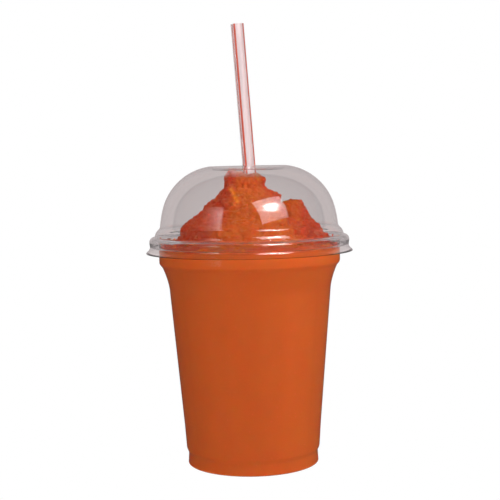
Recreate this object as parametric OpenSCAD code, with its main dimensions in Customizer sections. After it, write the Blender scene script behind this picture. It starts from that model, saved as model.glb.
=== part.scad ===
// Frozen slush drink: clear cup, clear dome lid, striped straw and the slush that
// fills the cup and stands up under the dome.
// Z is up, the cup's axis is Z, and the origin is the middle of its foot on the table.
// The straw leans in the XZ plane, towards -X.

/* [Cup] */
// Outer diameter of the rolled rim, the size that a lid is chosen by
rim_d = 95; // [94.6:0.1:95]
// Height from the table to the top of the rolled rim
cup_h = 110; // [109.6:0.1:110]
// Thickness of the cup's sheet
cup_t = 0.4; // [0.3:0.05:0.5]
// Outer diameter of the foot ring
foot_d = 63.6; // [62:0.1:64]
// Height of the foot, up to the groove
foot_h = 5.4; // [4.5:0.1:6]
// Height of the raised floor above the table
floor_z = 4.2; // [3:0.1:5]
// Outer radius of the wall just above the groove
wall_low_r = 32.5; // [32:0.1:33]
// Outer radius of the wall at the foot of the shoulder
wall_high_r = 38.9; // [38.5:0.1:39.5]
// Height at which the shoulder starts to flare
shoulder_z = 83.7; // [82:0.1:85]
// Outer radius of the upright band under the rim
band_r = 43.7; // [43.5:0.1:43.8]

/* [Dome lid] */
// Thickness of the lid's sheet
lid_t = 0.3; // [0.25:0.05:0.35]
// Radius of the skirt's flared tip
skirt_r = 50; // [49.8:0.1:50.2]
// Height of the dome's highest point above the table
dome_top_z = 144.5; // [144:0.1:146]
// Radius of the dome's shoulder curve
dome_shoulder_r = 27.3; // [27:0.1:27.5]
// Diameter of the straw hole
hole_d = 30.2; // [29:0.1:31]

/* [Straw] */
// Outer diameter
straw_d = 6.3; // [5.8:0.1:6.6]
// Wall thickness
straw_t = 0.2; // [0.15:0.05:0.25]
// Length from end to end
straw_len = 200; // [180:1:210]
// Lean away from the cup's axis, in degrees
straw_lean = 3.7; // [3:0.1:4.5]
// Width of a red stripe, measured round the straw
stripe_w = 1.0; // [0.6:0.1:1.4]
// Turn of the first red stripe from the front (-Y), anticlockwise from above
stripe_turn = 63; // [50:1:80]

/* [Slush] */
// Level of the slush against the cup's wall
fill_z = 105.5; // [104:0.1:106]
// Height of the top of the peak
peak_z = 141; // [138:0.5:142]
// Radius of the heap where it leaves the cup
heap_r = 39.5; // [38:0.5:41]
// Radius of the peak's upright top
peak_r = 9.8; // [9:0.1:10.5]
// Height of the side lump
lump_z = 126.7; // [124:0.1:128]

/* [Hidden] */
$fn = 96;

clear_plastic = [0.78, 0.76, 0.77, 0.35];
slush_orange = [0.79, 0.3, 0.11];
stripe_red = [0.8, 0.2, 0.15];

// Foot and floor
foot_edge_r = 0.4;
foot_flat_w = 1;
floor_r = 24.5;
floor_slope_w = 3.4;
groove_h = 2.2;
foot_draw = 0.3;
lower_wall_z = 18.5;
lower_wall_gain = 0.75;
// Shoulder, a flaring curve that ends in a short bevel under the band
shoulder_h = 12.2;
shoulder_gain = 3.3;
bevel_h = 1.9;
// Rolled rim: an arch over the top and a small curl under its outer side
curl_r = 0.8;
arch_r = (rim_d / 2 - cup_t - band_r) / 2;
arch_z = cup_h - cup_t - arch_r;
curl_z = arch_z - 1.2;
// Lid: clearances to the rolled rim, the flared skirt, and the round beads above it
lid_gap = 0.3;
lid_side_gap = 0.2;
tip_z = 103;
neck_r = rim_d / 2 + lid_side_gap + lid_t;
neck_z = 106.1;
flare_r = 2.9;
flare_angle = 50;
rim_bead_r = 2.4;
rim_bead_out = neck_r + 0.3;
rim_bead_top = cup_h + lid_gap + lid_t;
step_r = 45.6;
step_z = 110.45;
step_bead_r = 4.6;
step_start = 5;
step_end = 57;
// Dome: the upright side is a wide arc, tangent to the shoulder at side_angle
side_arc_r = 57;
side_angle = 14;
side_start = 4.6;
shoulder_c = [15.1, dome_top_z - dome_shoulder_r];
side_c = [shoulder_c[0] + (dome_shoulder_r - side_arc_r) * cos(side_angle),
          shoulder_c[1] + (dome_shoulder_r - side_arc_r) * sin(side_angle)];
shoulder_end = 83.3;
hole_bead_r = 1;
hole_lip_z = dome_top_z - 1.8;
// Straw: it crosses the height of the lid's top at straw_cross
straw_cross = [0.5, 0, 145.6];
straw_above = 66.3;
straw_r = straw_d / 2;
stripe_angle = stripe_w / straw_r * 180 / PI;
// Slush: gap to the cup's sheet, and to the straw all round
wall_gap = 0.05;
straw_gap = 0.3;
peak_x = -1.5;
neck_base_z = 131.5;
heap_shoulder_x = 5.6;
heap_shoulder_r = 8.4;
lump_x = 21.2;
lump_top_r = 4.6;
lump_foot_r = 17;

// Points of an arc about c, from angle a0 to a1 in n steps
function arc(c, r, a0, a1, n = 6) =
    [for (i = [0:n]) let (a = a0 + (a1 - a0) * i / n) [c[0] + r * cos(a), c[1] + r * sin(a)]];

// Left-hand unit normal of the step from p to q
function left_of(p, q) = let (d = q - p) [-d[1], d[0]] / norm(d);

// A path moved sideways by t to its left, with mitred corners
function beside(p, t) =
    let (last = len(p) - 1)
    [for (i = [0:last])
        let (a = left_of(p[max(i - 1, 0)], p[max(i, 1)]),
             b = left_of(p[min(i, last - 1)], p[min(i + 1, last)]))
        p[i] + t * (a + b) / (1 + a * b)];

function backwards(p) = [for (i = [len(p) - 1:-1:0]) p[i]];

// Outside of the cup, from the middle of the floor up to top_z on the upright band
function cup_path(top_z) =
    let (foot_r = foot_d / 2, edge_x = foot_r - foot_edge_r)
    concat(
        [[0, floor_z], [floor_r, floor_z], [floor_r + floor_slope_w, 0.5],
         [edge_x - foot_flat_w, 0]],
        arc([edge_x, foot_edge_r], foot_edge_r, -90, 0, 4),
        [[foot_r - foot_draw, foot_h], [wall_low_r, foot_h + groove_h],
         [wall_low_r + lower_wall_gain, lower_wall_z], [wall_high_r, shoulder_z]],
        [for (i = [1:6]) let (s = i / 6)
            [wall_high_r + shoulder_gain * pow(s, 1.6), shoulder_z + shoulder_h * s]],
        [[band_r, shoulder_z + shoulder_h + bevel_h], [band_r, top_z]]);

// Underside of the rolled rim, from the top of the band over the arch to the curl
function rim_path() = concat(
    arc([band_r + arch_r, arch_z], arch_r, 165, 0, 8),
    arc([band_r + 2 * arch_r - curl_r, curl_z], curl_r, 0, -120, 5));

// Outside of the lid, from the skirt's tip up and over to the straw hole
function lid_path() = concat(
    [[skirt_r, tip_z]],
    arc([neck_r + flare_r, neck_z], flare_r, flare_angle - 180, -180, 6),
    arc([rim_bead_out - rim_bead_r, rim_bead_top - rim_bead_r], rim_bead_r, 0, 82, 6),
    arc([step_r - step_bead_r * cos(step_start), step_z], step_bead_r, step_start, step_end, 6),
    arc(side_c, side_arc_r, side_start, side_angle, 5),
    backwards(arc(shoulder_c, dome_shoulder_r, shoulder_end, side_angle + 5, 12)),
    arc([shoulder_c[0] + (dome_shoulder_r - hole_bead_r) * cos(shoulder_end),
         shoulder_c[1] + (dome_shoulder_r - hole_bead_r) * sin(shoulder_end)],
        hole_bead_r, shoulder_end + 20, 180, 4),
    [[hole_d / 2 + 1.6, hole_lip_z], [hole_d / 2, hole_lip_z]]);

// A sheet of thickness t on the left of a path, turned round Z
module turned_sheet(path, t) {
    rotate_extrude() polygon(concat(path, backwards(beside(path, t))));
}

// Places children on the straw's axis, with z = 0 at its lower end
module on_straw() {
    translate(straw_cross)
        rotate([0, -straw_lean, 0])
            translate([0, 0, straw_above - straw_len])
                children();
}

// The straw's wall between two angles from the front
module wall_sector(from, span) {
    rotate([0, 0, from - 90])
        rotate_extrude(angle = span)
            translate([straw_r - straw_t, 0]) square([straw_t, straw_len]);
}

// Two opposite quarters of the wall, between the red stripes
module band_pair(from) {
    for (i = [0:1])
        wall_sector(from + 180 * i + stripe_angle / 2, 90 - stripe_angle);
}

// The straight hole that the straw leaves in the slush
module straw_channel() {
    on_straw() translate([0, 0, -straw_gap]) cylinder(h = straw_len, r = straw_r + straw_gap);
}

module heap_solid() {
    translate([peak_x, 0, fill_z])
        cylinder(h = neck_base_z - fill_z, r1 = heap_r, r2 = peak_r + 1.5);
    translate([peak_x, 0, fill_z])
        cylinder(h = peak_z - 1.5 - fill_z, r = peak_r);
    translate([peak_x, 0, peak_z - 1.5])
        cylinder(h = 1.5, r1 = peak_r, r2 = peak_r - 2.5);
    translate([heap_shoulder_x, 0, fill_z])
        cylinder(h = neck_base_z - fill_z, r = heap_shoulder_r);
}

module cup() {
    color(clear_plastic) turned_sheet(concat(cup_path(arch_z), rim_path()), cup_t);
}

module dome_lid() {
    color(clear_plastic) turned_sheet(lid_path(), lid_t);
}

module straw_clear_bands() {
    color(clear_plastic) on_straw() band_pair(stripe_turn);
}

module straw_white_bands() {
    color("white") on_straw() band_pair(stripe_turn - 90);
}

module straw_red_stripes() {
    color(stripe_red)
        on_straw()
            for (i = [0:3])
                wall_sector(stripe_turn + 90 * i - stripe_angle / 2, stripe_angle);
}

module slush_fill() {
    color(slush_orange)
        difference() {
            rotate_extrude()
                polygon(concat(beside(cup_path(fill_z), cup_t + wall_gap), [[0, fill_z]]));
            straw_channel();
        }
}

module slush_peak() {
    color(slush_orange)
        difference() {
            heap_solid();
            straw_channel();
        }
}

module slush_side_lump() {
    color(slush_orange)
        difference() {
            translate([lump_x, 0, fill_z])
                cylinder(h = lump_z - fill_z, r1 = lump_foot_r, r2 = lump_top_r);
            heap_solid();
        }
}

cup();
dome_lid();
straw_clear_bands();
straw_white_bands();
straw_red_stripes();
slush_fill();
slush_peak();
slush_side_lump();
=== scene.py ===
"""A frozen slush drink: clear cup, clear dome lid, striped straw and orange slush.

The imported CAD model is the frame. Its plain solids are replaced by finer surfaces of the
same size, and each surface gets a procedural material. Lengths in the profile functions are
in millimetres and become metres in the meshes.
"""
import math

import bpy
import numpy as np
from mathutils import Matrix, Quaternion, Vector


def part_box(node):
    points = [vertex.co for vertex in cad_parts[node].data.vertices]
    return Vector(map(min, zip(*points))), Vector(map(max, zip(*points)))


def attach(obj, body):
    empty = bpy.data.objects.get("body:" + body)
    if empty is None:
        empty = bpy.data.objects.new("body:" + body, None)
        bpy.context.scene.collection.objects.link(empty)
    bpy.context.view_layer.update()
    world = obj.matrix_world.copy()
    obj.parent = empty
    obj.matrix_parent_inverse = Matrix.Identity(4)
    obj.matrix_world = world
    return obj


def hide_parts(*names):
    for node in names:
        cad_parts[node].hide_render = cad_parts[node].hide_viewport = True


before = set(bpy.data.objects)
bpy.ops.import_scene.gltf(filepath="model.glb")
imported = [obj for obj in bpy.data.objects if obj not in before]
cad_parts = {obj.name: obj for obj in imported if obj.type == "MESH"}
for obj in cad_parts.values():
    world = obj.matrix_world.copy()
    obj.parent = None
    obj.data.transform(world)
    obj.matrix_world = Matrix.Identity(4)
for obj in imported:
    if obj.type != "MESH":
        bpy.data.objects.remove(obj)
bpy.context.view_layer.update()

MM = 0.001

# Sizes of the frame, in millimetres
CUP_HIGH = np.array(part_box("cup")[1]) / MM
LID_HIGH = np.array(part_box("dome_lid")[1]) / MM
RIM_R = CUP_HIGH[0]
CUP_H = CUP_HIGH[2]
SKIRT_R = LID_HIGH[0]
DOME_TOP = LID_HIGH[2]
CUP_T = 0.4
LID_T = 0.3
# Outer radius of the cup's upright band, between the shoulder and the rolled rim
BAND_R = 43.7

# Straw: its axis crosses the height of the lid's top at STRAW_CROSS
STRAW_R = 3.15
STRAW_T = 0.2
STRAW_LEN = 200.0
STRAW_LEAN = math.radians(3.7)
STRAW_CROSS = np.array([0.5, 0.0, 145.6])
STRAW_ABOVE = 66.3
STRIPE_W = 1.0
STRIPE_TURN = 63.0
# Hairline between two strips of the straw's wall, and the height of its first and last ring
STRIP_GAP = 0.004
STRAW_EDGE_H = 0.06

# Slush: level at the wall, and the middles of the peak and of the side lump
WALL_LEVEL = 105.4
PEAK_X = -1.5
LUMP_X = 21.2
# Farthest that the heap's foot goes out from the cup's axis, just inside the sheet
HEAP_LIMIT_R = 43.1
# Depth to which the slush's side lies inside the sheet
WET_DEPTH = 0.12
# The well round the straw: its gap, and the height of its closed bottom. Below it the straw
# runs on inside the slush, out of sight.
WELL_GAP = 0.25
WELL_Z = 122.0
# The lumps of the slush's surface, largest first, as (size, height, random seed)
GRAIN = ((7, 0.8, 3), (3.1, 0.8, 4), (1.7, 0.75, 5), (1.0, 0.5, 6), (0.7, 0.25, 11))
# The paler streak on the front of the heap, as (x, z) of its ends
STREAK_TOP = np.array([-8.2, 133.2])
STREAK_FOOT = np.array([-5.2, 127.6])

# Steps round every turned sheet and round the filling, and the longest step along a profile
SEGMENTS = 224
FILL_SEGMENTS = 300
LONGEST_STEP = 2.0
# How far from a corner of the cup's or the lid's profile its rounding starts
CUP_CORNER = 0.6
LID_CORNER = 0.35


# ---------------------------------------------------------------- profiles

def arc(centre, radius, start, stop, steps):
    """Points of a circle: the centre plus the radius times the cosine and sine of evenly
    spaced angles from start to stop, in degrees."""
    a = np.radians(np.linspace(start, stop, steps + 1))
    return np.stack([centre[0] + radius * np.cos(a), centre[1] + radius * np.sin(a)], axis=1)


def beside(path, gap):
    """The path moved to its left by gap: each point goes along the mitre of its two steps,
    the sum of their unit normals over one plus the normals' dot product."""
    step = np.diff(path, axis=0)
    step /= np.linalg.norm(step, axis=1, keepdims=True)
    normal = np.stack([-step[:, 1], step[:, 0]], axis=1)
    before = np.vstack([normal[:1], normal])
    after = np.vstack([normal, normal[-1:]])
    return path + gap * (before + after) / (1 + (before * after).sum(axis=1))[:, None]


def bend(start, corner, stop, steps):
    """A quadratic curve from start to stop that pulls towards the corner."""
    s = np.linspace(0, 1, steps + 1)[:, None]
    return (1 - s) ** 2 * start + 2 * s * (1 - s) * corner + s * s * stop


def softened(path, reach, steps=4):
    """Each inner corner becomes a quadratic curve: it leaves the corner's leg at reach before
    the corner, pulls towards the corner, and joins the next leg at reach after it."""
    out = [path[0]]
    for before, corner, after in zip(path[:-2], path[1:-1], path[2:]):
        back, ahead = before - corner, after - corner
        take = min(reach, 0.45 * np.linalg.norm(back), 0.45 * np.linalg.norm(ahead))
        start = corner + take * back / np.linalg.norm(back)
        stop = corner + take * ahead / np.linalg.norm(ahead)
        out.extend(bend(start, corner, stop, steps))
    out.append(path[-1])
    return np.array(out)


def stepped(path, longest):
    """The same path with points added, so that no step is longer than longest."""
    out = [path[:1]]
    for start, stop in zip(path[:-1], path[1:]):
        count = max(1, math.ceil(np.linalg.norm(stop - start) / longest))
        share = np.arange(1, count + 1)[:, None] / count
        out.append(start + share * (stop - start))
    return np.vstack(out)


def rounded_edge(path, thickness, forward, steps=4):
    """A half circle across a sheet's cut edge, at the end of its path or, with forward -1, at
    its start: the middle of the edge plus half the thickness, turning from side to side."""
    end, near = (path[-1], path[-2]) if forward > 0 else (path[0], path[1])
    along = (end - near) / np.linalg.norm(end - near)
    side = np.array([-along[1], along[0]]) * forward
    middle = end + side * thickness / 2
    a = np.linspace(0, math.pi, steps + 2)[1:-1]
    half = thickness / 2
    edge = middle - half * np.cos(a)[:, None] * side + half * np.sin(a)[:, None] * along
    return edge if forward > 0 else edge[::-1]


def cup_path():
    """Outside of the cup, from the middle of its raised floor to the top of its band."""
    floor_z, floor_r, slope_r, slope_z = 4.2, 24.5, 27.9, 0.5
    foot_r, foot_h, foot_draw, foot_flat_w, edge_r = 31.8, 5.4, 0.3, 1, 0.4
    groove_h, low_r, lower_wall_r, lower_wall_z = 2.2, 32.5, 33.25, 18.5
    high_r, shoulder_z, shoulder_h, shoulder_gain = 38.9, 83.7, 12.2, 3.3
    band_low, band_top = 97.8, 107.9
    s = np.linspace(0, 1, 13)[1:]
    shoulder = np.stack([high_r + shoulder_gain * s ** 1.6, shoulder_z + shoulder_h * s], axis=1)
    return np.vstack([
        [[0, floor_z], [floor_r, floor_z], [slope_r, slope_z], [foot_r - edge_r - foot_flat_w, 0]],
        arc([foot_r - edge_r, edge_r], edge_r, -90, 0, 6),
        [[foot_r - foot_draw, foot_h], [low_r, foot_h + groove_h]],
        [[lower_wall_r, lower_wall_z], [high_r, shoulder_z]],
        shoulder,
        [[BAND_R, band_low], [BAND_R, band_top]]])


def rim_path():
    """Underside of the rolled rim: an arch over the top, then a small curl under it."""
    curl_r, curl_drop = 0.8, 1.2
    arch_r = (RIM_R - CUP_T - BAND_R) / 2
    arch_z = CUP_H - CUP_T - arch_r
    return np.vstack([
        arc([BAND_R + arch_r, arch_z], arch_r, 165, 0, 14),
        arc([BAND_R + 2 * arch_r - curl_r, arch_z - curl_drop], curl_r, 0, -120, 7)])


def lid_path():
    """Outside of the lid, from the skirt's tip over the beads and the dome to the hole. The
    step bead runs into the dome's side in a hollow curve."""
    side_gap, top_gap, tip_inset, tip_z = 0.2, 0.3, 0.13, 103.0
    flare_r, flare_z, bead_r, bead_out = 2.9, 106.1, 2.4, 0.3
    step_r, step_z, step_bead_r, step_start = 45.6, 110.45, 4.6, 5
    dome_r, dome_x, side_r, side_angle, dome_end = 27.3, 15.1, 57, 14, 83.3
    hole_r, hole_bead_r, hole_lip_w, hole_lip_drop = 15.1, 1, 1.6, 1.8
    hollow_pull = 1.17
    neck_r = RIM_R + side_gap + LID_T
    bead_top = CUP_H + (top_gap + LID_T)
    step_x = step_r - step_bead_r * math.cos(math.radians(step_start))
    step = arc([step_x, step_z], step_bead_r, step_start, 50, 12)
    rise = step[-1] - step[-2]
    hollow = step[-1] + hollow_pull * rise / np.linalg.norm(rise)
    shoulder = np.array([dome_x, DOME_TOP - dome_r])
    tilt = math.radians(side_angle)
    side = shoulder + (dome_r - side_r) * np.array([math.cos(tilt), math.sin(tilt)])
    dome_side = arc(side, side_r, 5.9, side_angle, 10)
    last = math.radians(dome_end)
    hole_bead = shoulder + (dome_r - hole_bead_r) * np.array([math.cos(last), math.sin(last)])
    lip_z = DOME_TOP - hole_lip_drop
    return np.vstack([
        [[SKIRT_R - tip_inset, tip_z]],
        arc([neck_r + flare_r, flare_z], flare_r, -130, -180, 8),
        arc([neck_r + bead_out - bead_r, bead_top - bead_r], bead_r, 0, 82, 10),
        step,
        bend(step[-1], hollow, dome_side[0], 8)[1:-1],
        dome_side,
        arc(shoulder, dome_r, side_angle + 5, dome_end, 40),
        arc(hole_bead, hole_bead_r, dome_end + 20, 180, 6),
        [[hole_r + hole_lip_w, lip_z], [hole_r, lip_z]]])


# ---------------------------------------------------------------- meshes

def lumps(points, size, seed):
    """Smooth random heights from -1 to 1: random values at the corners of cells of the given
    size, blended across each cell by the ease curve 3t^2 - 2t^3 in each direction."""
    values = np.random.default_rng(seed).uniform(-1, 1, (32, 32, 32))
    place = points / size
    cell = np.floor(place).astype(int)
    t = place - cell
    t = t * t * (3 - 2 * t)
    total = np.zeros(points.shape[:-1])
    for corner in np.ndindex(2, 2, 2):
        weight = np.prod(np.where(corner, t, 1 - t), axis=-1)
        i, j, k = np.moveaxis((cell + corner) % 32, -1, 0)
        total += weight * values[i, j, k]
    return total


def grid_normals(rings):
    """Unit normals of a grid of rings: the step round the ring crossed with the step along
    the profile, both taken as central differences."""
    around = np.roll(rings, -1, axis=1) - np.roll(rings, 1, axis=1)
    along = np.gradient(rings, axis=0)
    normal = np.cross(around, along)
    return normal / np.maximum(np.linalg.norm(normal, axis=2, keepdims=True), 1e-9)


def shell(rings, looped=False, poles=(None, None)):
    """Points and faces of a closed surface from rings of points. Neighbouring rings are joined
    by quads, a looped profile joins its last ring to its first, and a pole closes an end."""
    m, n = rings.shape[:2]
    i = np.arange(m if looped else m - 1)[:, None]
    j = np.arange(n)[None, :]
    k = (j + 1) % n
    nxt = (i + 1) % m
    corners = np.broadcast_arrays(i * n + j, i * n + k, nxt * n + k, nxt * n + j)
    quads = np.stack(corners, axis=-1)
    faces = quads.reshape(-1, 4).tolist()
    points = [rings.reshape(-1, 3)]
    ring = np.arange(n)
    for end, pole in enumerate(poles):
        if pole is not None:
            first = 0 if end == 0 else (m - 1) * n
            a, b = first + ring, first + (ring + 1) % n
            centre = np.full(n, sum(len(block) for block in points))
            faces += np.stack([centre, b, a] if end == 0 else [a, b, centre], axis=1).tolist()
            points.append(np.array([pole], float))
    return np.vstack(points), faces


def new_piece(name, points, faces, body, nodes=(), smooth=True):
    """An object at the origin from points in millimetres, riding on a body of the frame and
    standing for the plain CAD nodes that it replaces."""
    mesh = bpy.data.meshes.new(name)
    mesh.from_pydata((points * MM).tolist(), [], faces)
    mesh.validate()
    mesh.polygons.foreach_set("use_smooth", np.full(len(mesh.polygons), smooth))
    mesh.update()
    piece = bpy.data.objects.new(name, mesh)
    bpy.context.scene.collection.objects.link(piece)
    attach(piece, body)
    if nodes:
        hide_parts(*nodes)
    return piece


def line_inside(piece, first_ring, segments):
    """Gives the faces from first_ring on the second material, as for a sheet's inner side."""
    faces = np.arange(len(piece.data.polygons))
    piece.data.polygons.foreach_set("material_index", (faces >= first_ring * segments).astype(int))


def paint(piece, name, values):
    """Stores one number for each point of a piece, for its material to read."""
    piece.data.attributes.new(name, "FLOAT", "POINT").data.foreach_set("value", values)


def turned_rings(profile, segments):
    """A profile turned round Z: radius times cosine and sine of the turn, and the height."""
    a = np.arange(segments) * 2 * math.pi / segments
    r, z = profile[:, 0, None], profile[:, 1, None]
    return np.stack(np.broadcast_arrays(r * np.cos(a), r * np.sin(a), z), axis=-1)


def make_cup():
    """The cup's sheet: its outside path, a rounded cut edge under the rim, and the inside."""
    outside = stepped(softened(np.vstack([cup_path()[:-1], rim_path()]), CUP_CORNER), LONGEST_STEP)
    edge = rounded_edge(outside, CUP_T, 1)
    inside = beside(outside, CUP_T)[::-1]
    sheet = np.vstack([outside, edge, inside])
    points, faces = shell(turned_rings(sheet[1:-1], SEGMENTS),
                          poles=((0, 0, sheet[0, 1]), (0, 0, sheet[-1, 1])))
    piece = new_piece("clear_cup", points, faces, "cup_body", ["cup"])
    line_inside(piece, len(outside) + len(edge) - 1, SEGMENTS)
    return piece


def make_lid():
    """The lid's sheet: outside from skirt to hole, the cut edge, the inside and its edge."""
    outside = stepped(softened(lid_path(), LID_CORNER), LONGEST_STEP)
    top_edge = rounded_edge(outside, LID_T, 1)
    inside = beside(outside, LID_T)[::-1]
    sheet = np.vstack([outside, top_edge, inside, rounded_edge(outside, LID_T, -1)])
    points, faces = shell(turned_rings(sheet, SEGMENTS), looped=True)
    piece = new_piece("clear_dome_lid", points, faces, "lid_body", ["dome_lid"])
    line_inside(piece, len(outside) + len(top_edge), SEGMENTS)
    return piece


def straw_point(r, turn, height):
    """A point of the straw: round a circle of radius r from the front, at a height above the
    lower end, then leaned in the XZ plane about the crossing point."""
    x = r * np.sin(turn)
    y = -r * np.cos(turn)
    z = height + STRAW_ABOVE - STRAW_LEN
    lean_x = x * math.cos(STRAW_LEAN) - z * math.sin(STRAW_LEAN)
    lean_z = x * math.sin(STRAW_LEAN) + z * math.cos(STRAW_LEAN)
    return np.stack(np.broadcast_arrays(lean_x, y, lean_z), axis=-1) + STRAW_CROSS


def straw_sector(start, stop):
    """One strip of the straw's wall: a closed outline across the wall, between two angles in
    degrees, carried along the straw in rings."""
    gap = math.degrees(STRIP_GAP / STRAW_R)
    steps = max(4, round((stop - start) / 5))
    turn = np.radians(np.linspace(start + gap, stop - gap, steps + 1))
    turns = np.concatenate([turn, turn[::-1]])
    radii = np.concatenate([np.full(steps + 1, STRAW_R), np.full(steps + 1, STRAW_R - STRAW_T)])
    heights = np.concatenate([
        [0, STRAW_EDGE_H], np.linspace(2, STRAW_LEN - 2, 50), [STRAW_LEN - STRAW_EDGE_H, STRAW_LEN]])
    return straw_point(radii[None, :], turns[None, :], heights[:, None])


def make_straw_strips(name, node, sectors):
    """All strips of one colour in one mesh. Each is a tube of rings with flat cut ends."""
    points, faces, total = [], [], 0
    for start, stop in sectors:
        rings = straw_sector(start, stop)
        m, n = rings.shape[:2]
        i = np.arange(m - 1)[:, None]
        j = np.arange(n)[None, :]
        k = (j + 1) % n
        corners = np.broadcast_arrays(i * n + j, (i + 1) * n + j, (i + 1) * n + k, i * n + k)
        quads = np.stack(corners, axis=-1)
        half = n // 2
        a = np.arange(half - 1)
        ends = np.stack([a, a + 1, n - 2 - a, n - 1 - a], axis=1)
        top = ends[:, ::-1] + (m - 1) * n
        faces += (np.vstack([quads.reshape(-1, 4), ends, top]) + total).tolist()
        points.append(rings.reshape(-1, 3))
        total += m * n
    return new_piece(name, np.vstack(points), faces, "straw_body", [node], smooth=False)


def grainy(rings, scale=1.0):
    """Rings pushed out along their normals by lumps of five sizes, each smaller and lower."""
    height = np.zeros(rings.shape[:2])
    for size, amount, seed in GRAIN:
        height += amount * lumps(rings, size, seed)
    return rings + (scale * height)[..., None] * grid_normals(rings)


def heap_rings(profile, centre_x, count, segments, bulges=()):
    """A heap from a (radius, height) profile, evenly resampled, turned round an upright line.
    Each bulge adds to the radius an amount times a bell over the height and over the turn."""
    length = np.concatenate([[0], np.cumsum(np.linalg.norm(np.diff(profile, axis=0), axis=1))])
    s = np.linspace(0, length[-1], count)
    r = np.interp(s, length, profile[:, 0])[:, None]
    z = np.interp(s, length, profile[:, 1])[:, None]
    a = (np.arange(segments) * 2 * math.pi / segments)[None, :]
    for amount, height, spread, turn, width in bulges:
        off = np.angle(np.exp(1j * (a - math.radians(turn))))
        up = np.exp(-((z - height) / spread) ** 2)
        r = r + amount * up * np.exp(-(off / math.radians(width)) ** 2)
    return np.stack(np.broadcast_arrays(centre_x + r * np.cos(a), r * np.sin(a), z), axis=-1)


def well_rings(heights, segments):
    """The walls of the well round the straw: circles about the straw's axis at these heights."""
    a = np.arange(segments) * 2 * math.pi / segments
    r = STRAW_R + WELL_GAP
    z = np.array(heights)[:, None]
    x = STRAW_CROSS[0] - (z - STRAW_CROSS[2]) * math.tan(STRAW_LEAN)
    return np.stack(np.broadcast_arrays(x + r * np.cos(a), r * np.sin(a), z), axis=-1)


def near_line(points, start, stop, reach):
    """One on the line from start to stop, seen from the front, and fading to nought at reach:
    a bell over the distance from the line in the XZ plane."""
    flat = points[:, [0, 2]]
    along = stop - start
    share = np.clip(((flat - start) @ along) / (along @ along), 0, 1)
    away = np.linalg.norm(flat - start - share[:, None] * along, axis=1)
    return np.exp(-(away / reach) ** 2) * (points[:, 1] < 0)


def make_peak():
    """The heap with its upright peak, and the upper end of the hole that the straw stands in.
    Its top is paler and pinker, a paler streak runs down its front, and its sides carry painted shade as a
    deeper red."""
    segments, foot_z, top_z, pale_top_z, pale_top_depth = 400, 100.0, 137, 138.6, 2.0
    side = np.array([
        [38.5, foot_z], [42.6, 103.0], [42.3, 105.2], [39.0, 106.4], [35.5, 107.6], [33.2, 109.2],
        [31.9, 111.0], [31.3, 113.0], [30.4, 114.6], [28.0, 116.3], [24.6, 118.8], [21.4, 121.3],
        [18.6, 124.0], [16.2, 126.6], [13.8, 129.2], [11.6, 131.0], [10.2, 132.5], [9.6, 134.5],
        [9.9, 136.5], [9.7, 138.2], [8.9, 139.6], [7.6, 140.5], [6.4, 140.9]])
    bulges = [(3.4, 129.8, 2.6, 0, 50), (2.2, 124.0, 5.0, -75, 32), (1.6, 117.0, 5.0, -140, 30),
              (-1.6, 121.0, 4.0, -112, 18), (1.8, 127.0, 4.0, 120, 35), (-1.5, 119.0, 5.0, 70, 25),
              (1.6, 132.3, 2.0, -100, 55), (0.4, 137.0, 1.8, -20, 30), (0.9, 132.6, 1.8, 10, 30)]
    rings = heap_rings(side, PEAK_X, 208, segments, bulges)
    # The top is higher to the left of the straw and lower in front of it
    near_top = np.clip((rings[..., 2] - top_z) / 4, 0, 1)
    to_left = np.clip(-rings[..., 0] / 8, 0, 1)
    to_front = np.clip(-rings[..., 1] / 8, 0, 1)
    rings[..., 2] += near_top * (0.9 * to_left - 1.4 * to_front)
    rings = grainy(rings)
    out = np.hypot(rings[..., 0], rings[..., 1])
    rings[..., :2] *= np.minimum(1, HEAP_LIMIT_R / out)[..., None]
    well = well_rings((140.2, 139.4, 138.4, 134.0, 128.0, WELL_Z), segments)
    share = np.linspace(0, 1, 24)[1:-1, None, None]
    top = rings[-1] + share * (well[0] - rings[-1])
    rough = 0.5 + 0.35 * lumps(top, 2.2, 7) + 0.3 * lumps(top, 0.9, 8)
    top[..., 2] += rough * np.sin(math.pi * share[..., 0])
    points, faces = shell(np.concatenate([rings, top, well]),
                          poles=((PEAK_X, 0, foot_z), tuple(well_rings([WELL_Z], 4)[0].mean(axis=0))))
    piece = new_piece("slush_heap", points, faces, "cup_body", ["slush_peak"])
    # The top is paler and pinker above a height, with an uneven lower edge
    pale_top = np.clip((points[:, 2] - pale_top_z) / pale_top_depth, 0, 1) * (0.75 + 0.5 * lumps(points, 1.2, 12))
    paint(piece, "pale_top", np.clip(pale_top, 0, 1))
    # Painted shade: the heap's sides, as seen from the front, are painted a deeper red where they turn away
    turn = np.arctan2(points[:, 0] - PEAK_X, -points[:, 1]) - math.radians(12)
    paint(piece, "painted_shade", np.clip((np.abs(np.sin(turn)) - 0.5) / 0.32, 0, 1))
    # A paler streak down the front of the heap
    paint(piece, "pale_streak", near_line(points, STREAK_TOP, STREAK_FOOT, 0.9) * 0.9)
    return piece


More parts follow.
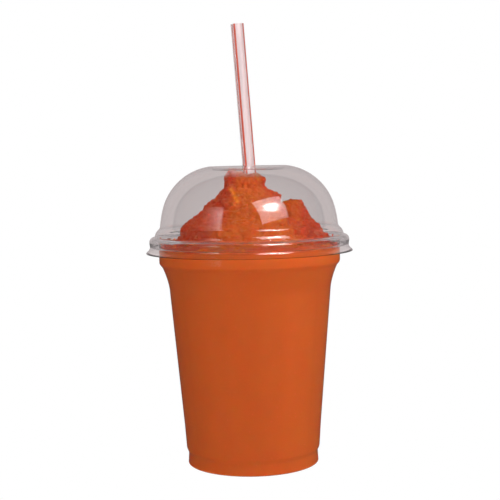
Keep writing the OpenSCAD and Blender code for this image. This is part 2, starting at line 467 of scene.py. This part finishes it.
def make_side_lump():
    """The smaller lump at the right of the heap, with a flat top. Its right side carries painted shade as a
    deeper red.
    """
    foot_z, top_z = 104.0, 126.8
    side = np.array([
        [12.0, foot_z], [17.6, 107.0], [18.2, 108.6], [16.8, 110.2], [15.0, 111.6], [14.2, 113.2],
        [13.0, 115.0], [11.0, 116.4], [9.0, 117.8], [8.1, 119.2], [7.3, 121.0], [6.7, 122.6],
        [6.1, 124.2], [5.2, 125.6], [4.2, 126.5], [2.4, top_z], [0.6, 126.7]])
    bulges = [(1.6, 118.0, 4.0, -100, 40), (-1.2, 113.0, 3.0, -60, 20)]
    rings = grainy(heap_rings(side, LUMP_X, 150, 300, bulges), 0.85)
    points, faces = shell(rings, poles=((LUMP_X, 0, foot_z), (LUMP_X, 0, top_z)))
    piece = new_piece("slush_side_heap", points, faces, "cup_body", ["slush_side_lump"])
    # Painted shade: the lump's right side is painted a deeper red
    paint(piece, "painted_shade", np.clip((points[:, 0] - LUMP_X - 1.5) / 4, 0, 1))
    return piece


def make_fill():
    """The slush in the cup. It wets the sheet: its side lies WET_DEPTH inside the sheet's own
    thickness, up to the level at the wall. Its rough top rises towards the heap."""
    middle_z = 107.4
    wall = stepped(softened(beside(cup_path(), CUP_T - WET_DEPTH), CUP_CORNER), LONGEST_STEP)
    wall = wall[wall[:, 1] < WALL_LEVEL]
    level_r = wall[-1, 0]
    top = np.array([[level_r, WALL_LEVEL], [level_r - 0.7, WALL_LEVEL + 0.35],
                    [40.5, 106.2], [36.0, middle_z], [2.0, middle_z]])
    top = stepped(top, 0.7)
    rings = turned_rings(np.vstack([wall[1:], top]), FILL_SEGMENTS)
    count = len(top)
    rough = 0.5 * lumps(rings[-count:], 3.0, 9) + 0.35 * lumps(rings[-count:], 1.1, 10)
    rough[0] *= 1.2
    rings[-count:, :, 2] += rough
    points, faces = shell(rings, poles=((0, 0, wall[0, 1]), (0, 0, middle_z)))
    piece = new_piece("slush_in_cup", points, faces, "cup_body", ["slush_fill"])
    line_inside(piece, len(wall) - 2, FILL_SEGMENTS)
    # Painted shade: the filling's top above the level at the wall is painted a deeper red
    paint(piece, "painted_shade", 0.8 * (points[:, 2] > WALL_LEVEL - 0.1))
    return piece


def make_crumbs():
    """Crumbs and smears of slush that cling to the inside of the band above the slush's level.
    Each is a flattened ball: sines and cosines of two angles, stretched round the wall, and
    its middle lies on the wall."""
    random = np.random.default_rng(21)
    count = 70
    wall_r = 43.3
    clear_front = math.radians(28)
    turn = random.uniform(clear_front, 2 * math.pi - clear_front, count) - math.pi / 2
    height = WALL_LEVEL + 0.2 + 3.9 * random.uniform(0, 1, count) ** 1.3
    long = random.uniform(0.5, 2.6, count)
    tall = random.uniform(0.25, 0.7, count)
    polar = np.linspace(0, math.pi, 7)[1:-1, None]
    around = np.linspace(0, 2 * math.pi, 11)[None, :-1]
    points, faces, total = [], [], 0
    for a, z, length, rise in zip(turn, height, long, tall):
        out = 0.3 * np.sin(polar) * np.cos(around)
        across = length * np.sin(polar) * np.sin(around)
        up = -rise * np.cos(polar) + 0 * around
        place = a + across / wall_r
        r = wall_r + 0.05 + out
        rings = np.stack([r * np.cos(place), r * np.sin(place), z + up], axis=-1)
        rings += 0.12 * lumps(rings, 0.7, 13)[..., None] * np.array([math.sin(a), -math.cos(a), 1.0])
        foot = (wall_r * math.cos(a), wall_r * math.sin(a), z - rise)
        head = (wall_r * math.cos(a), wall_r * math.sin(a), z + rise)
        block, block_faces = shell(rings, poles=(foot, head))
        faces += [[total + corner for corner in face] for face in block_faces]
        points.append(block)
        total += len(block)
    return new_piece("slush_crumbs", np.vstack(points), faces, "cup_body")


# ---------------------------------------------------------------- materials

def add(tree, kind, values=None, **settings):
    """A shader node with its settings and the values of its unlinked sockets."""
    node = tree.nodes.new(kind)
    for key, value in settings.items():
        setattr(node, key, value)
    for key, value in (values or {}).items():
        node.inputs[key].default_value = value
    return node


def blank_material(name):
    material = bpy.data.materials.new(name)
    material.use_nodes = True
    material.node_tree.nodes.clear()
    return material, material.node_tree


def ramp(tree, source, stops):
    """A colour ramp from (position, colour) stops, fed by a value."""
    node = add(tree, "ShaderNodeValToRGB")
    elements = node.color_ramp.elements
    while len(elements) < len(stops):
        elements.new(0.5)
    for element, (position, colour) in zip(elements, stops):
        element.position = position
        element.color = (*colour, 1)
    tree.links.new(source, node.inputs[0])
    return node.outputs[0]


def finish_sheet(tree, plastic, shadow):
    """Ends a see-through material: its shadow is only tinted, and not black."""
    link = tree.links.new
    through = add(tree, "ShaderNodeBsdfTransparent", {"Color": shadow})
    path = add(tree, "ShaderNodeLightPath")
    mix = add(tree, "ShaderNodeMixShader")
    link(path.outputs["Is Shadow Ray"], mix.inputs[0])
    link(plastic.outputs[0], mix.inputs[1])
    link(through.outputs[0], mix.inputs[2])
    out = add(tree, "ShaderNodeOutputMaterial")
    link(mix.outputs[0], out.inputs["Surface"])


def clear_sheet(name, inner_tint, edge_tint, ior, gleam):
    """Clear sheet plastic. The sheet is a little darker where it faces the eye than near its
    outline, has a faint waviness, and lets the lamps' light straight through. gleam is how
    much it mirrors face on, 1 on the outside and less on the inner side."""
    roughness, wave, zone = 0.02, 0.04, 0.48
    material, tree = blank_material(name)
    link = tree.links.new
    spot = add(tree, "ShaderNodeTexCoord")
    waves = add(tree, "ShaderNodeTexNoise", {"Scale": 60.0, "Detail": 2.0})
    link(spot.outputs["Object"], waves.inputs["Vector"])
    bump = add(tree, "ShaderNodeBump", {"Strength": wave, "Distance": 0.0004})
    link(waves.outputs[0], bump.inputs["Height"])
    facing = add(tree, "ShaderNodeLayerWeight", {"Blend": 0.5})
    line_tint = tuple(0.96 * c for c in inner_tint)
    tint = ramp(tree, facing.outputs["Facing"], [
        (zone - 0.05, inner_tint), (zone - 0.01, line_tint), (zone + 0.03, edge_tint)])
    smear = add(tree, "ShaderNodeTexNoise", {"Scale": 35.0, "Detail": 5.0})
    link(spot.outputs["Object"], smear.inputs["Vector"])
    rough = add(tree, "ShaderNodeMapRange", {"To Min": roughness * 0.5, "To Max": roughness * 1.6})
    link(smear.outputs[0], rough.inputs["Value"])
    plastic = add(tree, "ShaderNodeBsdfPrincipled", {
        "IOR": ior, "Transmission Weight": 1.0, "Specular Tint": (gleam, gleam, gleam, 1)})
    link(tint, plastic.inputs["Base Color"])
    link(rough.outputs[0], plastic.inputs["Roughness"])
    link(bump.outputs[0], plastic.inputs["Normal"])
    finish_sheet(tree, plastic, (0.96, 0.95, 0.95, 1))
    return material


def slush_group():
    """Wet ice grain: a colour that wanders between orange and red and goes all red where Painted Shade is 1,
    which paints shade as a deeper red, with small paler flecks, and a height for the grain."""
    tree = bpy.data.node_groups.new("slush grain", "ShaderNodeTree")
    face = tree.interface
    for socket in ("Orange", "Red"):
        face.new_socket(socket, in_out="INPUT", socket_type="NodeSocketColor")
    face.new_socket("Painted Shade", in_out="INPUT", socket_type="NodeSocketFloat")
    face.new_socket("Color", in_out="OUTPUT", socket_type="NodeSocketColor")
    face.new_socket("Height", in_out="OUTPUT", socket_type="NodeSocketFloat")
    link = tree.links.new
    entry = tree.nodes.new("NodeGroupInput")
    leave = tree.nodes.new("NodeGroupOutput")
    spot = add(tree, "ShaderNodeTexCoord")
    cloud = add(tree, "ShaderNodeTexNoise", {"Scale": 90.0, "Detail": 5.0, "Roughness": 0.6})
    link(spot.outputs["Object"], cloud.inputs["Vector"])
    wander = add(tree, "ShaderNodeMapRange", {"From Min": 0.35, "From Max": 0.7, "To Max": 0.4})
    link(cloud.outputs[0], wander.inputs["Value"])
    # Painted shade is added to the wander and turns the colour a deeper red
    redder = add(tree, "ShaderNodeMath", operation="ADD", use_clamp=True)
    link(wander.outputs[0], redder.inputs[0])
    link(entry.outputs["Painted Shade"], redder.inputs[1])
    base = add(tree, "ShaderNodeMix", data_type="RGBA")
    link(redder.outputs[0], base.inputs["Factor"])
    link(entry.outputs["Orange"], base.inputs["A"])
    link(entry.outputs["Red"], base.inputs["B"])
    cells = add(tree, "ShaderNodeTexVoronoi", {"Scale": 700.0})
    link(spot.outputs["Object"], cells.inputs["Vector"])
    near = add(tree, "ShaderNodeMapRange", {"From Min": 0.08, "From Max": 0.3, "To Min": 1.0, "To Max": 0.0})
    link(cells.outputs["Distance"], near.inputs["Value"])
    pick = add(tree, "ShaderNodeSeparateColor")
    link(cells.outputs["Color"], pick.inputs[0])
    few = add(tree, "ShaderNodeMath", {1: 0.93}, operation="GREATER_THAN")
    link(pick.outputs[0], few.inputs[0])
    fleck = add(tree, "ShaderNodeMath", operation="MULTIPLY")
    link(near.outputs[0], fleck.inputs[0])
    link(few.outputs[0], fleck.inputs[1])
    soft = add(tree, "ShaderNodeMath", {1: 0.4}, operation="MULTIPLY")
    link(fleck.outputs[0], soft.inputs[0])
    flecked = add(tree, "ShaderNodeMix", {"B": (0.9, 0.16, 0.09, 1)}, data_type="RGBA")
    link(soft.outputs[0], flecked.inputs["Factor"])
    link(base.outputs["Result"], flecked.inputs["A"])
    fine = add(tree, "ShaderNodeTexNoise", {"Scale": 900.0, "Detail": 4.0, "Roughness": 0.65})
    link(spot.outputs["Object"], fine.inputs["Vector"])
    link(flecked.outputs["Result"], leave.inputs["Color"])
    link(fine.outputs[0], leave.inputs["Height"])
    return tree


def slush_material(name, group, orange, red, roughness, specular, bump_strength):
    """Coloured wet ice: light goes a few millimetres in and comes out again."""
    material, tree = blank_material(name)
    link = tree.links.new
    grain = add(tree, "ShaderNodeGroup", node_tree=group)
    grain.inputs["Orange"].default_value = (*orange, 1)
    grain.inputs["Red"].default_value = (*red, 1)
    # Painted shade: the deeper red painted on each piece, read by name
    painted_shade = add(tree, "ShaderNodeAttribute", attribute_name="painted_shade")
    link(painted_shade.outputs["Fac"], grain.inputs["Painted Shade"])
    bump = add(tree, "ShaderNodeBump", {"Strength": bump_strength, "Distance": 0.0003})
    link(grain.outputs["Height"], bump.inputs["Height"])
    ice = add(tree, "ShaderNodeBsdfPrincipled", {
        "Roughness": roughness, "IOR": 1.33, "Specular IOR Level": specular,
        "Subsurface Weight": 1.0, "Subsurface Radius": (1.0, 0.28, 0.1), "Subsurface Scale": 0.004})
    colour = grain.outputs["Color"]
    # A paler streak and a paler, pinker top, each laid over the colour by its mask
    for mask, tint in (("pale_streak", (0.8, 0.27, 0.03, 1)), ("pale_top", (0.78, 0.42, 0.36, 1))):
        painted = add(tree, "ShaderNodeAttribute", attribute_name=mask)
        over = add(tree, "ShaderNodeMix", {"B": tint}, data_type="RGBA")
        link(painted.outputs["Fac"], over.inputs["Factor"])
        link(colour, over.inputs["A"])
        colour = over.outputs["Result"]
    link(colour, ice.inputs["Base Color"])
    link(bump.outputs[0], ice.inputs["Normal"])
    out = add(tree, "ShaderNodeOutputMaterial")
    link(ice.outputs[0], out.inputs["Surface"])
    return material


def straw_material(name, colour, roughness, ior, transmission, shadow):
    """Extruded straw plastic: fine lines along the straw in its colour and its surface. It
    lets a part of the light through, and shadow is how much of the lamps' light passes."""
    material, tree = blank_material(name)
    link = tree.links.new
    spot = add(tree, "ShaderNodeTexCoord")
    turn = add(tree, "ShaderNodeMapping", {"Rotation": (0, STRAW_LEAN, 0), "Scale": (1, 1, 0.01)})
    link(spot.outputs["Object"], turn.inputs["Vector"])
    lines = add(tree, "ShaderNodeTexNoise", {"Scale": 1800.0, "Detail": 3.0})
    link(turn.outputs[0], lines.inputs["Vector"])
    darker = tuple(0.9 * c for c in colour)
    tint = ramp(tree, lines.outputs[0], [(0.35, darker), (0.6, colour)])
    bump = add(tree, "ShaderNodeBump", {"Strength": 0.15, "Distance": 0.0001})
    link(lines.outputs[0], bump.inputs["Height"])
    plastic = add(tree, "ShaderNodeBsdfPrincipled", {
        "Roughness": roughness, "IOR": ior, "Transmission Weight": transmission})
    link(tint, plastic.inputs["Base Color"])
    link(bump.outputs[0], plastic.inputs["Normal"])
    finish_sheet(tree, plastic, (shadow, shadow, shadow, 1))
    return material


# ---------------------------------------------------------------- studio

def studio_shade(tree, forward, span, through, outer, piped, bounced):
    """Emission that depends on how it is reached: white to the eye, grey through clear
    plastic, dim as light that falls on the slush, and in mirror images a dark tone that
    brightens to outer at the back of the studio. A ray that was both mirrored and let
    through has run along inside a sheet: it sees a grey that brightens to piped. forward is
    a value that grows from the front of the studio to the back, and span is where the
    tones brighten in it."""
    link = tree.links.new
    path = add(tree, "ShaderNodeLightPath")
    mirrored, passed = path.outputs["Glossy Depth"], path.outputs["Transmission Depth"]
    side = add(tree, "ShaderNodeMapRange", {"From Min": span[0], "From Max": span[1]},
               interpolation_type="SMOOTHSTEP")
    link(forward, side.inputs["Value"])
    tones = []
    for front, back in (((0.06, 0.05, 0.05), outer), ((0.24, 0.21, 0.21), piped)):
        tone = add(tree, "ShaderNodeMix", {"A": (*front, 1), "B": (*back, 1)}, data_type="RGBA")
        link(side.outputs[0], tone.inputs["Factor"])
        tones.append(tone.outputs["Result"])
    both = add(tree, "ShaderNodeMath", operation="MINIMUM")
    link(mirrored, both.inputs[0])
    link(passed, both.inputs[1])
    # Above nought for light that has passed a sheet and has never been mirrored
    straight = add(tree, "ShaderNodeMath", {1: -100.0}, operation="MULTIPLY_ADD")
    link(mirrored, straight.inputs[0])
    link(passed, straight.inputs[2])
    result, inside = tones
    for kind, tint in ((both.outputs[0], None),
                       (straight.outputs[0], through),
                       (path.outputs["Diffuse Depth"], bounced),
                       (path.outputs["Is Camera Ray"], (1, 1, 1))):
        reached = add(tree, "ShaderNodeMath", {1: 0.5}, operation="GREATER_THAN")
        link(kind, reached.inputs[0])
        layer = add(tree, "ShaderNodeMix", data_type="RGBA")
        link(reached.outputs[0], layer.inputs["Factor"])
        link(result, layer.inputs["A"])
        if tint is None:
            link(inside, layer.inputs["B"])
        else:
            layer.inputs["B"].default_value = (*tint, 1)
        result = layer.outputs["Result"]
    return result


def make_world():
    world = bpy.data.worlds.new("studio")
    bpy.context.scene.world = world
    world.use_nodes = True
    tree = world.node_tree
    tree.nodes.clear()
    way = add(tree, "ShaderNodeTexCoord")
    split = add(tree, "ShaderNodeSeparateXYZ")
    tree.links.new(way.outputs["Generated"], split.inputs[0])
    shade = studio_shade(tree, split.outputs["Y"], span=(0.3, 0.85), through=(0.71, 0.62, 0.615),
                         outer=(0.6, 0.53, 0.53), piped=(0.54, 0.48, 0.48), bounced=(0.37, 0.315, 0.325))
    glow = add(tree, "ShaderNodeBackground")
    tree.links.new(shade, glow.inputs["Color"])
    out = add(tree, "ShaderNodeOutputWorld")
    tree.links.new(glow.outputs[0], out.inputs["Surface"])
    world.cycles.sampling_method = "NONE"


def make_floor():
    half, low = 1.5, -0.0002
    mesh = bpy.data.meshes.new("floor")
    corners = [(-half, -half, low), (half, -half, low), (half, half, low), (-half, half, low)]
    mesh.from_pydata(corners, [], [(0, 1, 2, 3)])
    floor = bpy.data.objects.new("floor", mesh)
    bpy.context.scene.collection.objects.link(floor)
    material, tree = blank_material("pale floor")
    spot = add(tree, "ShaderNodeTexCoord")
    split = add(tree, "ShaderNodeSeparateXYZ")
    tree.links.new(spot.outputs["Object"], split.inputs[0])
    shade = studio_shade(tree, split.outputs["Y"], span=(0.0, 0.3), through=(0.6, 0.532, 0.527),
                         outer=(0.06, 0.05, 0.05), piped=(0.45, 0.4, 0.4), bounced=(0.7, 0.6, 0.61))
    glow = add(tree, "ShaderNodeEmission")
    tree.links.new(shade, glow.inputs["Color"])
    out = add(tree, "ShaderNodeOutputMaterial")
    tree.links.new(glow.outputs[0], out.inputs["Surface"])
    material.cycles.emission_sampling = "NONE"
    mesh.materials.append(material)


def aim(azimuth, elevation, distance):
    """A place at a distance from the dome, azimuth degrees right of the front."""
    a, e = math.radians(azimuth), math.radians(elevation)
    return Vector((math.sin(a) * math.cos(e), -math.cos(a) * math.cos(e), math.sin(e))) * distance


def panel(name, azimuth, elevation, size, roll, power, mirror):
    """A rectangular lamp that faces the dome. A mirror panel is what polished plastic shows
    and lights nothing else; any other panel only lights the slush. power 1 is a brightness
    of 1."""
    lamp = bpy.data.lights.new(name, "AREA")
    lamp.shape = "RECTANGLE"
    lamp.size, lamp.size_y = size
    lamp.energy = math.pi * size[0] * size[1] * power
    box = bpy.data.objects.new(name, lamp)
    target = Vector((0, 0, 0.12))
    distance = 0.7
    box.location = target + aim(azimuth, elevation, distance)
    facing = (target - box.location).to_track_quat("-Z", "Y")
    box.rotation_euler = (facing @ Quaternion((0, 0, 1), math.radians(roll))).to_euler()
    box.visible_camera = False
    box.visible_diffuse = not mirror
    box.visible_glossy = mirror
    box.visible_transmission = False
    bpy.context.scene.collection.objects.link(box)
    return lamp


def cloth_glow(lamp, cloth, hot, fade, soft):
    """The brightness over a mirror panel. The cloth dims to one side and downwards by the two
    powers in fade, and its two bright edges roll off over the share soft of its size. hot adds
    a bell-shaped middle as (brightness, half width, half height)."""
    lamp.use_nodes = True
    tree = lamp.node_tree
    tree.nodes.clear()
    link = tree.links.new
    place = add(tree, "ShaderNodeNewGeometry")
    split = add(tree, "ShaderNodeSeparateXYZ")
    link(place.outputs["Parametric"], split.inputs[0])
    even = None
    for axis, power in enumerate(fade):
        slope = add(tree, "ShaderNodeMath", {1: power}, operation="POWER")
        link(split.outputs[axis], slope.inputs[0])
        full = 1.0 if axis else cloth
        edge = add(tree, "ShaderNodeMapRange", {"From Min": 1.0, "From Max": 1 - soft, "To Max": full},
                   interpolation_type="SMOOTHSTEP")
        link(split.outputs[axis], edge.inputs["Value"])
        for factor in (slope.outputs[0], edge.outputs[0]):
            if even is None:
                even = factor
                continue
            product = add(tree, "ShaderNodeMath", operation="MULTIPLY")
            link(even, product.inputs[0])
            link(factor, product.inputs[1])
            even = product.outputs[0]
    power, half_w, half_h = hot
    centred = add(tree, "ShaderNodeVectorMath", {1: (0.5, 0.5, 0.0)}, operation="SUBTRACT")
    link(place.outputs["Parametric"], centred.inputs[0])
    flat = add(tree, "ShaderNodeVectorMath", {1: (1 / half_w, 1 / half_h, 0.0)}, operation="MULTIPLY")
    link(centred.outputs[0], flat.inputs[0])
    square = add(tree, "ShaderNodeVectorMath", operation="DOT_PRODUCT")
    link(flat.outputs[0], square.inputs[0])
    link(flat.outputs[0], square.inputs[1])
    minus = add(tree, "ShaderNodeMath", {1: -1.0}, operation="MULTIPLY")
    link(square.outputs["Value"], minus.inputs[0])
    bell = add(tree, "ShaderNodeMath", operation="EXPONENT")
    link(minus.outputs[0], bell.inputs[0])
    both = add(tree, "ShaderNodeMath", {1: power}, operation="MULTIPLY_ADD")
    link(bell.outputs[0], both.inputs[0])
    link(even, both.inputs[2])
    glow = add(tree, "ShaderNodeEmission")
    link(both.outputs[0], glow.inputs["Strength"])
    out = add(tree, "ShaderNodeOutputLight")
    link(glow.outputs[0], out.inputs["Surface"])


def make_camera():
    """A long lens in front of the drink, a little above it, tipped down and slightly rolled."""
    data = bpy.data.cameras.new("camera")
    place, tip_angle, roll_angle = (0.00026, -0.5694, 0.14615), 4.3, -1.13
    data.sensor_width = 36.0
    data.lens = 84.8
    data.clip_start = 0.01
    camera = bpy.data.objects.new("camera", data)
    tip = Matrix.Rotation(math.radians(90 - tip_angle), 4, "X")
    roll = Matrix.Rotation(math.radians(roll_angle), 4, "Z")
    camera.matrix_world = Matrix.Translation(place) @ tip @ roll
    bpy.context.scene.collection.objects.link(camera)
    bpy.context.scene.camera = camera


# ---------------------------------------------------------------- assembly

cup = make_cup()
lid = make_lid()
fill = make_fill()
heap = make_peak()
side_heap = make_side_lump()
crumbs = make_crumbs()

stripe = math.degrees(STRIPE_W / STRAW_R)
red_at = [STRIPE_TURN + 90 * i for i in range(4)]
red = make_straw_strips("straw_stripes", "straw_red_stripes",
                        [(a - stripe / 2, a + stripe / 2) for a in red_at])
clear = make_straw_strips("straw_clear_walls", "straw_clear_bands",
                          [(a + stripe / 2, a + 90 - stripe / 2) for a in red_at[::2]])
white = make_straw_strips("straw_white_walls", "straw_white_bands",
                          [(a + stripe / 2 - 90, a - stripe / 2) for a in red_at[::2]])

grain = slush_group()
WATER_CLEAR = (0.97, 0.97, 0.97)
SMOKY, PALE = (0.735, 0.755, 0.76), (0.99, 0.99, 0.99)
ORANGE, RED = (0.6, 0.127, 0.02), (0.52, 0.074, 0.028)
DEEP_ORANGE, DEEP_RED = (0.66, 0.148, 0.03), (0.64, 0.13, 0.03)
open_slush = slush_material("open slush", grain, ORANGE, RED,
                            roughness=0.5, specular=0.1, bump_strength=0.35)
cup_sheets = (clear_sheet("clear cup plastic", WATER_CLEAR, WATER_CLEAR, ior=1.25, gleam=1.0),
              clear_sheet("clear cup plastic inside", WATER_CLEAR, WATER_CLEAR, ior=1.25, gleam=0.1))
lid_sheets = (clear_sheet("clear lid plastic", SMOKY, PALE, ior=1.36, gleam=1.0),
              clear_sheet("clear lid plastic inside", PALE, PALE, ior=1.36, gleam=0.1))
walled_slush = slush_material("slush behind the wall", grain, DEEP_ORANGE, DEEP_RED,
                              roughness=0.5, specular=0.0, bump_strength=0.2)
clear_plastic = straw_material("straw clear plastic", (0.97, 0.95, 0.95),
                               roughness=0.05, ior=1.1, transmission=1.0, shadow=0.95)
white_plastic = straw_material("straw white plastic", (1.0, 0.93, 0.93),
                               roughness=0.3, ior=1.3, transmission=0.55, shadow=0.75)
red_plastic = straw_material("straw red plastic", (0.7, 0.1, 0.05),
                             roughness=0.3, ior=1.4, transmission=0.0, shadow=0.15)
finishes = (
    (cup, "clear_cup_plastic", cup_sheets),
    (lid, "clear_lid_plastic", lid_sheets),
    (fill, "orange_slush", (walled_slush, open_slush)),
    (heap, "orange_slush", (open_slush,)),
    (clear, "straw_clear_plastic", (clear_plastic,)),
    (white, "straw_white_plastic", (white_plastic,)),
    (red, "straw_red_plastic", (red_plastic,)),
    (side_heap, "orange_slush", (open_slush,)),
    (crumbs, "orange_slush", (open_slush,)))
for piece, slot, materials in finishes:
    for material in materials:
        piece.data.materials.append(material)

make_world()
make_floor()
key = panel("key softbox mirror", azimuth=32, elevation=32, size=(0.46, 0.442),
            roll=8, power=1.0, mirror=True)
cloth_glow(key, cloth=11.5, hot=(125.0, 0.2, 0.13), fade=(0.0, 0.15), soft=0.05)
left = panel("left softbox mirror", azimuth=-52, elevation=2, size=(0.5, 0.8),
             roll=0, power=1.0, mirror=True)
cloth_glow(left, cloth=19.0, hot=(0.0, 1.0, 1.0), fade=(2.8, 1.5), soft=0.14)
panel("key softbox light", azimuth=34, elevation=16, size=(0.45, 0.44), roll=0, power=2.3, mirror=False)
panel("left softbox light", azimuth=-52, elevation=14, size=(0.5, 0.46), roll=0, power=1.3, mirror=False)
panel("low right light", azimuth=50, elevation=2, size=(0.5, 0.3), roll=0, power=1.4, mirror=False)
make_camera()

scene = bpy.context.scene
scene.view_settings.view_transform = "Standard"
scene.cycles.use_denoising = True
